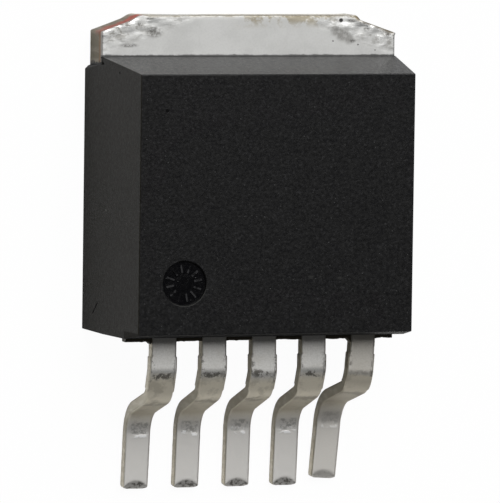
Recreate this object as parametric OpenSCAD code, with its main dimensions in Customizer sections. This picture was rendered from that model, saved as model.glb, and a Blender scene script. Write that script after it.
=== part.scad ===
// Five-lead surface-mount voltage regulator in a moulded power package.
// It lies on its solder side: +Z is up, +Y points from the leads to the heat tab,
// and the origin is on the solder plane under the middle of its outline.
// All lengths are in millimetres.

/* [Moulding] */
// Width of the moulding at its base
body_w = 10.46; // [9.4:0.01:12]
// Length of the moulding at its longest, from the lead side to the tab side
body_len = 9.02; // [8.2:0.01:10.5]
// Height of the marked face above the board
body_h = 4.44; // [4.1:0.01:5]
// Draft of the two long sides, in degrees
side_draft = 7.4; // [3:0.1:10]
// Draft of the end that faces the tab, in degrees
tab_end_draft = 7.6; // [3:0.1:12]
// How far the moulding beside the tab is set back
tab_side_step = 0.34; // [0.1:0.01:0.5]
// How far the moulding beside the tab leans out towards the top of the tab
tab_side_lean = 0.07; // [0:0.01:0.09]
// Corner cut off the moulding beside the tab
base_corner = 0.13; // [0.05:0.01:0.18]
// Draft of the lead side above the leads, in degrees
lead_end_draft = 9.5; // [4:0.1:16]
// How far the lead side is cut back at the base
lead_end_cutback = 0.04; // [0:0.01:0.4]
// Height up to which the lead side is cut back
lead_end_cutback_h = 1.6; // [1:0.05:2.1]
// Diameter of the round mark sunk in the marked face
mark_d = 1.5; // [0.8:0.05:2]
// Depth of the round mark
mark_depth = 0.1; // [0.03:0.01:0.25]
// From the left edge of the marked face to the middle of the round mark
mark_in = 1.54; // [1.2:0.01:3]
// From the lead side to the middle of the round mark
mark_up = 1.87; // [1.6:0.01:4]
// How far the thin flash stands out between the leads
flash_out = 0.12; // [0.05:0.01:0.2]
// Size of the flash left in the corner beside leads 1 and 5
flash_web = 0.12; // [0.05:0.01:0.2]

/* [Heat tab] */
// Thickness of the tab
tab_t = 1.27; // [1:0.01:1.5]
// How much narrower than the moulding the tab is on each side
tab_inset = 0.17; // [0.05:0.01:0.5]
// How far the tab stands out of the moulding
tab_out = 1.31; // [0.9:0.01:2]
// Width of the cut corner of the tab
tab_corner_w = 1.4; // [0.4:0.05:2]
// Depth of the cut corner of the tab
tab_corner_l = 0.51; // [0.2:0.05:0.8]
// Moulding beside the part of the tab that it grips
slug_cover = 0.84; // [0.7:0.01:1.2]
// How far the gripped part is cut back on each side below its lip
slug_undercut = 0.36; // [0.1:0.01:0.6]
// Thickness of that lip
slug_lip_t = 0.57; // [0.3:0.01:0.8]

/* [Leads] */
// Distance between neighbouring leads
lead_pitch = 1.70; // [1.6:0.01:1.8]
// Width of a lead
lead_w = 0.84; // [0.6:0.01:0.95]
// Thickness of a lead
lead_t = 0.4; // [0.3:0.01:0.55]
// Moulding left above the leads
lead_cover = 1.19; // [0.9:0.01:1.4]
// How far the feet reach from the moulding
lead_reach = 5.26; // [4.9:0.01:6]
// Straight run of a lead before its first bend
lead_flat = 1.01; // [0.85:0.01:1.2]
// Slope of the first bend, in degrees
droop_angle = 26; // [15:0.5:35]
// Slope of the steep part, in degrees
steep_angle = 70.5; // [65:0.5:80]
// Slope of the foot, in degrees
foot_angle = 5.4; // [0:0.1:8]
// Width that the trimmed tie bar left on each side of a lead
tie_bar_w = 0.03; // [0.01:0.01:0.08]
// Rounding of the corners at the tip of a foot
tip_r = 0.12; // [0.05:0.01:0.3]

/* [Inside] */
// Width of the silicon die
die_w = 3.2; // [2.6:0.1:4]
// Length of the silicon die
die_len = 2.6; // [2:0.1:3]
// Thickness of the silicon die
die_t = 0.35; // [0.2:0.01:0.5]
// Thickness of the solder under the die
solder_t = 0.05; // [0.03:0.01:0.1]
// Radius of the four power bond wires
power_wire_r = 0.09; // [0.06:0.01:0.1]
// Radius of the three signal bond wires
signal_wire_r = 0.05; // [0.03:0.01:0.08]

/* [Hidden] */
$fn = 48;
overall = lead_reach + body_len + tab_out;
lead_face_y = lead_reach - overall / 2;
tab_face_y = lead_face_y + body_len;
tab_end_y = tab_face_y + tab_out;

lead_top_z = body_h - lead_cover;
lead_mid_z = lead_top_z - lead_t / 2;
base_half = body_w / 2;
top_half = base_half - body_h * tan(side_draft);
tab_w = body_w - 2 * tab_inset;

// Each lead was bent by its own small amount. The rows run from lead 1 to lead 5: added to the
// straight run, added to the first slope, length of the first slope, added to the steep slope,
// added to the foot slope, sideways turn in degrees, and added to the reach.
lead_trim = [
    [-0.15,  -6, 0.75, 2, 0,  0.5,  0],
    [ 0,      1, 0.60, 0, 0,  0,    0],
    [ 0.10,   3, 0.45, 0, 0, -0.5,  0],
    [ 0,      0, 0.55, 0, 0,  0,    0],
    [ 0.15, -10, 0.15, 4, -2.5, 4, -0.2]];
first_r = 0.3;
second_r = 0.6;
third_r = 1.1;
hinge = 0.2;
root_lap = 0.1;
tie_bar_from = 0.41;
tie_bar_len = 1.1;

function lead_x(n) = (n - 3) * lead_pitch;

// A bend from slope a to slope b at mid radius r runs this far along and this far down.
function bend_run(a, b, r) = r * abs(sin(b) - sin(a));
function bend_drop(a, b, r) = r * abs(cos(a) - cos(b));

// The steep run and the foot take up what the bends leave of the reach and of the drop to the board.
function outer_steps(n) =
    let (
        k = lead_trim[n - 1],
        flat = lead_flat + k[0] - hinge,
        a = droop_angle + k[1],
        b = steep_angle + k[3],
        f = foot_angle + k[4],
        run = lead_reach + k[6] - sin(f) * lead_t / 2 - hinge - flat - k[2] * cos(a)
            - bend_run(0, a, first_r) - bend_run(a, b, second_r) - bend_run(b, f, third_r),
        drop = lead_mid_z - cos(f) * lead_t / 2 - k[2] * sin(a)
            - bend_drop(0, a, first_r) - bend_drop(a, b, second_r) - bend_drop(b, f, third_r),
        det = sin(b) * cos(f) - cos(b) * sin(f),
        steep = (drop * cos(f) - run * sin(f)) / det,
        foot = (run * sin(b) - drop * cos(b)) / det
    )
    [[flat, 0, 0], [0, a, first_r], [k[2], 0, 0], [0, b - a, second_r],
     [steep, 0, 0], [0, f - b, third_r], [foot, 0, 0]];

// Points along the middle of a bent strip: [y, z, slope].
function bend_point(p, bend, r, a) =
    let (side = sign(bend))
    [p[0] - side * r * (sin(p[2] + a) - sin(p[2])), p[1] - side * r * (cos(p[2]) - cos(p[2] + a)),
     p[2] + a];
function strip_path(steps, i = 0, p = [0, 0, 0]) =
    i == len(steps) ? [p] :
    let (
        s = steps[i],
        n = ceil(abs(s[1]) / 5)
    )
    s[1] == 0
        ? concat([p], strip_path(steps, i + 1, [p[0] - s[0] * cos(p[2]), p[1] - s[0] * sin(p[2]), p[2]]))
        : concat([for (k = [0:n - 1]) bend_point(p, s[1], s[2], s[1] * k / n)],
                 strip_path(steps, i + 1, bend_point(p, s[1], s[2], s[1])));

// The middle lead comes down inside the moulding to the tab.
riser_angle = 65;
riser_r = 0.45;
riser_flat = 0.45;
riser_rest = 0.15;
riser_lap = 0.25;
riser_drop = lead_top_z - tab_t;
riser_run = (riser_drop - 2 * bend_drop(0, riser_angle, riser_r)) / sin(riser_angle);
slug_gap = riser_flat + 2 * bend_run(0, riser_angle, riser_r) + riser_run * cos(riser_angle) + riser_rest;

// The tab narrows where the moulding grips it, and its lower half narrows more.
slug_front_y = lead_face_y + slug_gap;
slug_w = body_w - 2 * slug_cover;
slug_lower_w = slug_w - 2 * slug_undercut;
slug_step_z = tab_t - slug_lip_t;

post_gap = 0.24;
post_w = lead_pitch - post_gap;
post_y = 0.55;
post_len = 1.2;
post_side_y = lead_face_y + post_y + post_len / 2;

flash_short_left = 0.09;
flash_past_lead_5 = 0.58;

// The die lies midway between the room for its wires and the cover at the tab side.
wire_room = 0.9;
tab_side_cover = 0.6;
die_y = (slug_front_y + wire_room + tab_face_y - tab_side_cover) / 2;
die_z = tab_t + solder_t;
die_top_z = die_z + die_t;
solder_margin = 0.12;

// Each bond wire goes from a pad on the die to a post or to the tab: the share of the die's width
// where it starts, the lead it goes to, the share of the post's width where it lands, and its radius.
wires = [
    [-0.42, 1, -0.26, power_wire_r],
    [-0.29, 1,  0.16, power_wire_r],
    [-0.155, 2, -0.22, power_wire_r],
    [-0.035, 2,  0.20, power_wire_r],
    [ 0.08, 3,  0.00, signal_wire_r],
    [ 0.22, 4,  0.00, signal_wire_r],
    [ 0.375, 5, 0.00, signal_wire_r]];
wire_half_arc = 48;
wire_in = 0.35;

// A flat strip that starts at the origin and runs along -Y. Each step is a straight length,
// or a bend of so many degrees down (up if negative) at a mid radius.
module bent_strip(steps, w, t) {
    path = strip_path(steps);
    over = [for (p = path) [p[0] - sin(p[2]) * t / 2, p[1] + cos(p[2]) * t / 2]];
    under = [for (p = path) [p[0] + sin(p[2]) * t / 2, p[1] - cos(p[2]) * t / 2]];
    last = len(path) - 1;
    translate([-w / 2, 0, 0]) rotate([90, 0, 90]) linear_extrude(w)
        polygon(concat(over, [for (i = [last:-1:0]) under[i]]));
}

// What the cutting tool takes off the two corners at the tip of a foot.
module tip_corners(path) {
    end = path[len(path) - 1];
    translate([0, end[0], end[1]]) rotate([end[2], 0, 0]) for (side = [-1, 1]) difference() {
        translate([side > 0 ? lead_w / 2 - tip_r : -lead_w / 2 - 1, -1, -lead_t])
            cube([tip_r + 1, tip_r + 1, 2 * lead_t]);
        translate([side * (lead_w / 2 - tip_r), tip_r, -lead_t]) cylinder(r = tip_r, h = 2 * lead_t);
    }
}

// The part of a lead outside the moulding, with the wider length that the trimmed tie bar left.
module outer_lead(n) {
    translate([lead_x(n), lead_face_y, lead_mid_z]) {
        translate([-lead_w / 2, -hinge, -lead_t / 2]) cube([lead_w, hinge + root_lap, lead_t]);
        translate([0, -hinge, -lead_t / 2]) cylinder(d = lead_w, h = lead_t);
        translate([0, -hinge, 0]) rotate([0, 0, -lead_trim[n - 1][5]]) {
            difference() {
                bent_strip(outer_steps(n), lead_w, lead_t);
                tip_corners(strip_path(outer_steps(n)));
            }
            intersection() {
                bent_strip(outer_steps(n), lead_w + 2 * tie_bar_w, lead_t);
                translate([-lead_w, -tie_bar_from - tie_bar_len, -lead_top_z])
                    cube([2 * lead_w, tie_bar_len, 2 * lead_top_z]);
            }
        }
    }
}

// The post that the bond wires land on, inside the moulding.
module inner_post(n) {
    translate([lead_x(n) - lead_w / 2, lead_face_y, lead_top_z - lead_t])
        cube([lead_w, post_y + root_lap, lead_t]);
    translate([lead_x(n) - post_w / 2, lead_face_y + post_y, lead_top_z - lead_t])
        cube([post_w, post_len, lead_t]);
}

module side_lead(n) {
    color([0.72, 0.72, 0.70]) union() {
        outer_lead(n);
        inner_post(n);
    }
}

// The heat tab and the middle lead are one piece of two-gauge strip.
module tab_and_lead_3() {
    color([0.75, 0.75, 0.74]) union() {
        linear_extrude(tab_t) polygon([
            [-tab_w / 2, tab_face_y - tab_side_step],
            [tab_w / 2, tab_face_y - tab_side_step],
            [tab_w / 2, tab_end_y - tab_corner_l],
            [tab_w / 2 - tab_corner_w, tab_end_y],
            [-tab_w / 2 + tab_corner_w, tab_end_y],
            [-tab_w / 2, tab_end_y - tab_corner_l]]);
        translate([-slug_lower_w / 2, slug_front_y, 0])
            cube([slug_lower_w, tab_face_y - slug_front_y, tab_t]);
        translate([-slug_w / 2, slug_front_y, slug_step_z])
            cube([slug_w, tab_face_y - slug_front_y, tab_t - slug_step_z]);
        translate([0, lead_face_y, lead_mid_z]) mirror([0, 1, 0])
            bent_strip([[riser_flat, 0, 0], [0, riser_angle, riser_r], [riser_run, 0, 0],
                        [0, -riser_angle, riser_r], [riser_rest + riser_lap, 0, 0]],
                        lead_w, lead_t);
        outer_lead(3);
    }
}

module silicon_die() {
    color([0.36, 0.37, 0.42])
        translate([-die_w / 2, die_y - die_len / 2, die_z]) cube([die_w, die_len, die_t]);
}

module die_solder() {
    color([0.62, 0.62, 0.62])
        translate([-die_w / 2 - solder_margin, die_y - die_len / 2 - solder_margin, tab_t])
            cube([die_w + 2 * solder_margin, die_len + 2 * solder_margin, solder_t]);
}

// One bond wire: a flattened foot at each end and a single arc between them.
module bond_wire(k) {
    w = wires[k];
    r = w[3];
    on_tab = w[1] == 3;
    a = [w[0] * die_w, die_y - die_len / 2 + wire_in, die_top_z];
    b = on_tab ? [a[0], slug_front_y + wire_in, tab_t]
               : [lead_x(w[1]) + w[2] * post_w, post_side_y, lead_top_z];
    run = norm([b[0] - a[0], b[1] - a[1]]);
    rise = b[2] - a[2];
    slope = atan2(rise, run);
    arc_r = norm([run, rise]) / (2 * sin(wire_half_arc));
    start = slope + wire_half_arc;
    heading = atan2(b[1] - a[1], b[0] - a[0]);
    color([0.82, 0.82, 0.84]) union() {
        translate([a[0], a[1], a[2] + r]) rotate([0, 0, heading])
            translate([arc_r * sin(start), 0, -arc_r * cos(start)]) rotate([90, 0, 0])
                rotate([0, 0, 90 + slope - wire_half_arc]) rotate_extrude(angle = 2 * wire_half_arc)
                    translate([arc_r, 0]) circle(r = r);
        for (p = [a, b]) translate(p) rotate([0, 0, heading])
            translate([-2 * r, -1.1 * r, 0]) cube([4 * r, 2.2 * r, 1.5 * r]);
    }
}

// The outside of the moulding: its length section and its width section crossed.
module body_shape() {
    lead_end_top = (body_h - lead_top_z) * tan(lead_end_draft);
    tab_end_top = (body_h - tab_t) * tan(tab_end_draft);
    intersection() {
        translate([-body_w, 0, 0]) rotate([90, 0, 90]) linear_extrude(2 * body_w) polygon([
            [lead_face_y, lead_end_cutback_h],
            [lead_face_y + lead_end_cutback, 0],
            [tab_face_y - tab_side_step, 0],
            [tab_face_y - tab_side_step + tab_side_lean, tab_t],
            [tab_face_y, tab_t],
            [tab_face_y - tab_end_top, body_h],
            [lead_face_y + lead_end_top, body_h],
            [lead_face_y, lead_top_z]]);
        translate([0, overall, 0]) rotate([90, 0, 0]) linear_extrude(2 * overall) polygon([
            [-base_half, 0], [base_half, 0], [top_half, body_h], [-top_half, body_h]]);
    }
}

// Flash left at the parting line, as thick as the leads. It stops short of both ends.
module flash() {
    left = base_half - lead_top_z * tan(side_draft) - flash_short_left;
    right = lead_x(5) + lead_w / 2 + flash_past_lead_5;
    translate([-left, lead_face_y - flash_out, lead_top_z - lead_t])
        cube([left + right, flash_out + 0.2, lead_t]);
    for (n = [1, 5]) translate([lead_x(n) - lead_w / 2, lead_face_y - flash_out, lead_top_z - lead_t])
        linear_extrude(lead_t) polygon([[0.05, 0.05], [-flash_web, 0.05], [-flash_web, 0],
                                        [0, -flash_web], [0.05, -flash_web]]);
}

module moulded_body() {
    color([0.13, 0.13, 0.135]) difference() {
        union() {
            body_shape();
            flash();
        }
        for (side = [-1, 1]) linear_extrude(tab_t) polygon([
            [side * (base_half - base_corner - 1), tab_face_y - tab_side_step + 1],
            [side * (base_half + 1), tab_face_y - tab_side_step + 1],
            [side * (base_half + 1), tab_face_y - tab_side_step - base_corner - 1]]);
        translate([mark_in - top_half, lead_face_y + mark_up, body_h - mark_depth])
            cylinder(d = mark_d, h = mark_depth + 1);
        tab_and_lead_3();
        for (n = [1, 2, 4, 5]) side_lead(n);
        silicon_die();
        die_solder();
        for (k = [0:len(wires) - 1]) bond_wire(k);
    }
}

moulded_body();
tab_and_lead_3();
side_lead(1);  // lead_1
side_lead(2);  // lead_2
side_lead(4);  // lead_4
side_lead(5);  // lead_5
silicon_die();
die_solder();
bond_wire(0);  // bond_wire_1a
bond_wire(1);  // bond_wire_1b
bond_wire(2);  // bond_wire_2a
bond_wire(3);  // bond_wire_2b
bond_wire(4);  // bond_wire_3
bond_wire(5);  // bond_wire_4
bond_wire(6);  // bond_wire_5
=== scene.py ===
# A five-lead surface-mount voltage regulator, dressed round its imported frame.
# Sizes are in millimetres, as in the source of the solids; meshes are scaled to metres.
import math
from collections import namedtuple

import bmesh
import bpy
from mathutils import Matrix, Vector, noise


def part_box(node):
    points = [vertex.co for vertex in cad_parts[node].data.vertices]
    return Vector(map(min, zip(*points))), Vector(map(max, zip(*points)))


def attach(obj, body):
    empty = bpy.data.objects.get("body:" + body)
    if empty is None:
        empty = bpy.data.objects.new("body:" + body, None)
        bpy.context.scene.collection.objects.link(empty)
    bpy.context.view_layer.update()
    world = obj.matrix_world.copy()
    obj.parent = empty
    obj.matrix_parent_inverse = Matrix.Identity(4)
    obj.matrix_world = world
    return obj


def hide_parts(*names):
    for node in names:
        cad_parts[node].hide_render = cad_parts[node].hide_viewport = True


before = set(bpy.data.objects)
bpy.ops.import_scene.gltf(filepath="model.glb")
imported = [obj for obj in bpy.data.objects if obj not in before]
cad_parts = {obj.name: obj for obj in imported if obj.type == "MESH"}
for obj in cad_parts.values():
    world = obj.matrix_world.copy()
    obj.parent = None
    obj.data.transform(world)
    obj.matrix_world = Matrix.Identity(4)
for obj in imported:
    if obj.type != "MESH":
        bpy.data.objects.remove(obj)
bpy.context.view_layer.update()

MM = 0.001

# Sizes taken from the frame
body_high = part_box("moulded_body")[1] / MM
strip_low, strip_high = (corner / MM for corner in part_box("tab_and_lead_3"))
BODY_H = body_high.z
BASE_HALF = body_high.x
TAB_HALF = strip_high.x
TAB_END_Y = strip_high.y
TAB_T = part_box("die_solder")[0].z / MM
LEAD_TOP_Z = strip_high.z

# Sizes of the moulding
TAB_OUT = 1.31
LEAD_REACH = 5.26
SIDE_SLOPE = math.tan(math.radians(7.4))
TAB_END_DRAFT = math.radians(7.6)
LEAD_END_DRAFT = math.radians(9.5)
LEAD_END_CUTBACK, LEAD_END_CUTBACK_H = 0.04, 1.6
TAB_SIDE_STEP, TAB_SIDE_LEAN = 0.34, 0.07
BASE_CORNER = 0.13
EDGE_SOFTNESS, SOFT_FROM_ANGLE, SOFT_FROM_LENGTH = 0.03, 0.15, 0.3
MARK_IN, MARK_UP, MARK_R, MARK_DEPTH = 1.54, 1.87, 0.75, 0.1
TICK_TURN = math.radians(11)
FLASH_OUT, FLASH_WEB, FLASH_LEFT_GAP, FLASH_RIGHT_MORE = 0.12, 0.12, 0.09, 0.58

# Sizes of the tab and the leads
TAB_CORNER_W, TAB_CORNER_L = 1.4, 0.51
TAB_ROLL, DENT_REACH = 0.05, 0.75
SLUG_COVER, SLUG_UNDERCUT, SLUG_LIP_T = 0.84, 0.36, 0.57
LEAD_PITCH, LEAD_W, LEAD_T = 1.70, 0.84, 0.4
LEAD_FLAT, DROOP, STEEP, FOOT, HINGE = 1.01, 26, 70.5, 5.4, 0.2
FIRST_R, SECOND_R, THIRD_R = 0.3, 0.6, 1.1
POST_W, POST_IN, POST_LEN = LEAD_PITCH - 0.24, 0.55, 1.2
RISER_FLAT, RISER_ANGLE, RISER_R, RISER_REST = 0.45, 65, 0.45, 0.15

LEAD_FACE_Y = strip_low.y + LEAD_REACH
TAB_FACE_Y = TAB_END_Y - TAB_OUT
LEAD_MID_Z = LEAD_TOP_Z - LEAD_T / 2

# The tab's cut corners, as slope and length of each cut; the right one was sheared a little deeper,
# so it also has its half width along the tab. The burrs are size, place and width.
LEFT_CUT = (TAB_CORNER_L / TAB_CORNER_W, TAB_CORNER_L)
RIGHT_CUT = (0.343, 0.555)
RIGHT_CUT_LINE = ((7.24, TAB_HALF), (7.653, 3.857), (7.75, 3.78), (TAB_END_Y, 3.7))
RIGHT_SIDE_BURR, LEFT_END_BURR, RIGHT_END_BURR = (0.03, 7.21, 0.04), (0.08, -3.84, 0.2), (0.02, 3.66, 0.12)

# How each lead was bent: the length of its first slope, then what is added to the straight run,
# the first slope's angle, the steep part's and the foot's, the sideways turn, and the added reach
Bend = namedtuple("Bend", "slope run droop steep foot turn reach", defaults=(0,) * 6)
LEAD_BENDS = {
    1: Bend(0.63, run=-0.03, droop=-6, steep=2, turn=0.5),
    2: Bend(0.60, droop=1),
    3: Bend(0.45, run=0.10, droop=3, turn=-0.5),
    4: Bend(0.55),
    5: Bend(0.15, run=0.15, droop=-10, steep=4, foot=-2.5, turn=4, reach=-0.2),
}
STRAIGHT_PIECE, BEND_PIECE = 0.1, 3

# How near two points are one, and what still lies on the base: in millimetres, then in metres for
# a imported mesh, whose solder face is set below the base so that its pocket is cut right through
SAME_POINT, AT_BASE = 1e-5, 1e-6
SAME_POINT_M, AT_BASE_M, POCKET_FLOOR_M = 2e-7, 1e-6, -2e-4


def half_width(z):
    return BASE_HALF - z * SIDE_SLOPE


MARK_CENTRE = (MARK_IN - half_width(BODY_H), LEAD_FACE_Y + MARK_UP, BODY_H - MARK_DEPTH)

# Marks of handling on the moulding
SCRATCH_AT = (-5.095, -1.73, 1.04)
SIDE_DOT_AT, SIDE_SPECK_AT = (-4.869, 6.026, 2.778), (-4.995, 1.526, 1.813)
TOP_DOT_AT = (-3.769, 4.894, BODY_H)
SMUDGES = ((1.166, -0.513, 0.16), (2.159, -0.559, 0.14))

# Marks on the tab: across, along and radius; the smears also have their blur and how flat they lie
TAB_SMEARS = (
    (-3.27, 7.27, 0.40, 0.7, 1.6), (-4.12, 6.84, 0.42, 0.8, 4.5), (-3.72, 7.52, 0.20, 0.8, 1.7),
    (-3.42, 7.71, 0.26, 0.6, 6.0), (3.56, 7.64, 0.24, 0.6, 3.0), (4.05, 7.36, 0.16, 0.7, 2.2),
    (4.72, 7.20, 0.24, 0.7, 3.4), (3.56, 6.98, 0.16, 0.8, 1.5),
)
TAB_BLOTCHES = ((2.98, 7.3, 0.24, 0.7), (3.21, 7.2, 0.32, 0.6), (3.43, 7.04, 0.24, 0.7))
TAB_DOTS = ((3.159, 7.65, 0.085), (2.882, 6.968, 0.03), (3.75, 6.85, 0.03), (4.347, 6.669, 0.025))


def mesh_object(name, bm, material=None, scale=MM):
    """A new object from a mesh that was built in millimetres, unless another scale is given."""
    bmesh.ops.scale(bm, vec=(scale,) * 3, verts=bm.verts)
    mesh = bpy.data.meshes.new(name)
    bm.to_mesh(mesh)
    bm.free()
    piece = bpy.data.objects.new(name, mesh)
    bpy.context.scene.collection.objects.link(piece)
    if material:
        mesh.materials.append(material)
    return piece


# Node helpers shared by the materials and the geometry trees
def node(tree, kind, inputs=None, **settings):
    made = tree.nodes.new(kind)
    for name, value in settings.items():
        setattr(made, name, value)
    for key, value in (inputs or {}).items():
        feed(tree, made.inputs[key], value)
    return made


def feed(tree, socket, value):
    if isinstance(value, Amount):
        tree.links.new(value.socket, socket)
    elif isinstance(value, bpy.types.Node):
        tree.links.new(value.outputs[0], socket)
    else:
        socket.default_value = value


class Amount:
    """What a socket gives, as a value to reckon with: each sum or product adds its node."""

    def __init__(self, tree, socket):
        self.tree = tree
        self.socket = socket

    def __add__(self, other):
        return maths("ADD", self, other)

    def __sub__(self, other):
        return maths("SUBTRACT", self, other)

    def __rsub__(self, other):
        return maths("SUBTRACT", other, self)

    def __mul__(self, other):
        return maths("MULTIPLY", self, other)

    def __truediv__(self, other):
        return maths("DIVIDE", self, other)

    def __gt__(self, other):
        return maths("GREATER_THAN", self, other)

    def __lt__(self, other):
        return maths("LESS_THAN", self, other)

    def __abs__(self):
        return maths("ABSOLUTE", self)


def given_by(tree, kind, inputs=None, output=0, **settings):
    """A new node's output, as an amount."""
    return Amount(tree, node(tree, kind, inputs, **settings).outputs[output])


def maths(operation, *values, clamp=False):
    tree = next(value.tree for value in values if isinstance(value, Amount))
    return given_by(tree, "ShaderNodeMath", dict(enumerate(values)), operation=operation, use_clamp=clamp)


def vectors(operation, first, second):
    """A sum with vectors; to scale one, the second value is a plain amount."""
    inputs = {0: first, "Scale" if operation == "SCALE" else 1: second}
    output = "Value" if operation == "DOT_PRODUCT" else "Vector"
    return given_by(first.tree, "ShaderNodeVectorMath", inputs, output, operation=operation)


def highest(*amounts):
    total = amounts[0]
    for amount in amounts[1:]:
        total = maths("MAXIMUM", total, amount)
    return total


def spread(value, low, high, to_low=0.0, to_high=1.0, smooth=True):
    """The value's place between low and high, as a number from to_low to to_high."""
    ends = {"Value": value, "From Min": low, "From Max": high, "To Min": to_low, "To Max": to_high}
    kind = "SMOOTHSTEP" if smooth else "LINEAR"
    return given_by(value.tree, "ShaderNodeMapRange", ends, interpolation_type=kind)


def blend(amount, under, over):
    """One colour over another, by the amount."""
    return given_by(amount.tree, "ShaderNodeMix", {0: amount, 6: under, 7: over}, 2, data_type="RGBA")


def srgb(red, green, blue):
    """A colour written as the eye reads it, from 0 to 255, as the shader wants it."""
    return tuple((c / 255) ** 2.2 for c in (red, green, blue)) + (1.0,)


class Finish:
    """A material under construction, with its pattern space in millimetres."""

    def __init__(self, name, metallic, roughness):
        self.material = bpy.data.materials.new(name)
        self.material.use_nodes = True
        self.tree = self.material.node_tree
        self.shader = self.tree.nodes["Principled BSDF"]
        self.set("Metallic", metallic)
        self.set("Roughness", roughness)
        metres = given_by(self.tree, "ShaderNodeTexCoord", output="Object")
        self.place = vectors("MULTIPLY", metres, (1 / MM,) * 3)
        axes = node(self.tree, "ShaderNodeSeparateXYZ", {0: self.place})
        self.x, self.y, self.z = (Amount(self.tree, axis) for axis in axes.outputs)

    def set(self, name, value):
        feed(self.tree, self.shader.inputs[name], value)

    def grain(self, scale, detail=3.0, roughness=0.5, stretch=(1, 1, 1), shift=(3.37, 1.73, 0.91)):
        spot = node(self.tree, "ShaderNodeMapping", {"Vector": self.place, "Scale": stretch,
                                                     "Location": shift})
        return given_by(self.tree, "ShaderNodeTexNoise", {"Vector": spot, "Scale": scale,
                                                          "Detail": detail, "Roughness": roughness})

    def cells(self, scale):
        return given_by(self.tree, "ShaderNodeTexVoronoi", {"Vector": self.place, "Scale": scale},
                        output="Distance")

    def named(self, name):
        return given_by(self.tree, "ShaderNodeAttribute", output="Fac", attribute_name=name)

    def spot(self, centre, radius, blur=0.35, squash=(1, 1, 1)):
        """1 inside a round spot about a point in millimetres, 0 outside it."""
        offset = vectors("MULTIPLY", vectors("SUBTRACT", self.place, centre), squash)
        far = given_by(self.tree, "ShaderNodeVectorMath", {0: offset}, "Value", operation="LENGTH")
        return spread(far, radius, radius * (1 - blur))

    def bump(self, height, distance, strength=1.0):
        self.set("Normal", node(self.tree, "ShaderNodeBump", {
            "Height": height, "Distance": distance * MM, "Strength": strength}))


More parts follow.
